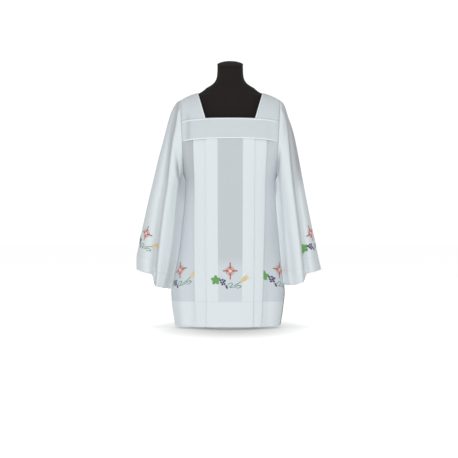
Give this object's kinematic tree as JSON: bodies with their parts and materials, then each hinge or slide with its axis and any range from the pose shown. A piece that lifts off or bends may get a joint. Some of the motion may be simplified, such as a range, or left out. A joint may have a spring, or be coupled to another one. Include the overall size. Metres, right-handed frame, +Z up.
{
  "type": "surplice on a limbless dress form",
  "caption": "White pleated surplice with square neck, yoke band and bell sleeves, worn by a black limbless dress form on a round base.",
  "frame": {"origin": "centre of the base's underside, on the surface that the form stands on", "axes": "+Z up, -Y towards the front of the garment, +X towards the wearer's left sleeve"},
  "size_m": [0.739, 0.2898, 1.0695],
  "materials": {
    "white_cloth": "matt, slightly see-through woven polyester",
    "black_cover": "matt black jersey stretched over a foam form",
    "painted_steel": "satin black paint"
  },
  "bodies": {
    "root": {"form_base": "painted_steel", "form_neck_cap": "black_cover", "form_plate": "painted_steel", "form_pole": "painted_steel", "form_torso": "black_cover", "neck_binding_left": "white_cloth", "neck_binding_right": "white_cloth", "shoulder_left": "white_cloth", "shoulder_right": "white_cloth", "skirt_back": "white_cloth", "skirt_front": "white_cloth", "sleeve_left": "white_cloth", "sleeve_right": "white_cloth", "yoke_back": "white_cloth", "yoke_front": "white_cloth", "yoke_tape_lower_back": "white_cloth", "yoke_tape_lower_front": "white_cloth", "yoke_tape_upper_back": "white_cloth", "yoke_tape_upper_front": "white_cloth"}
  },
  "joints": []
}
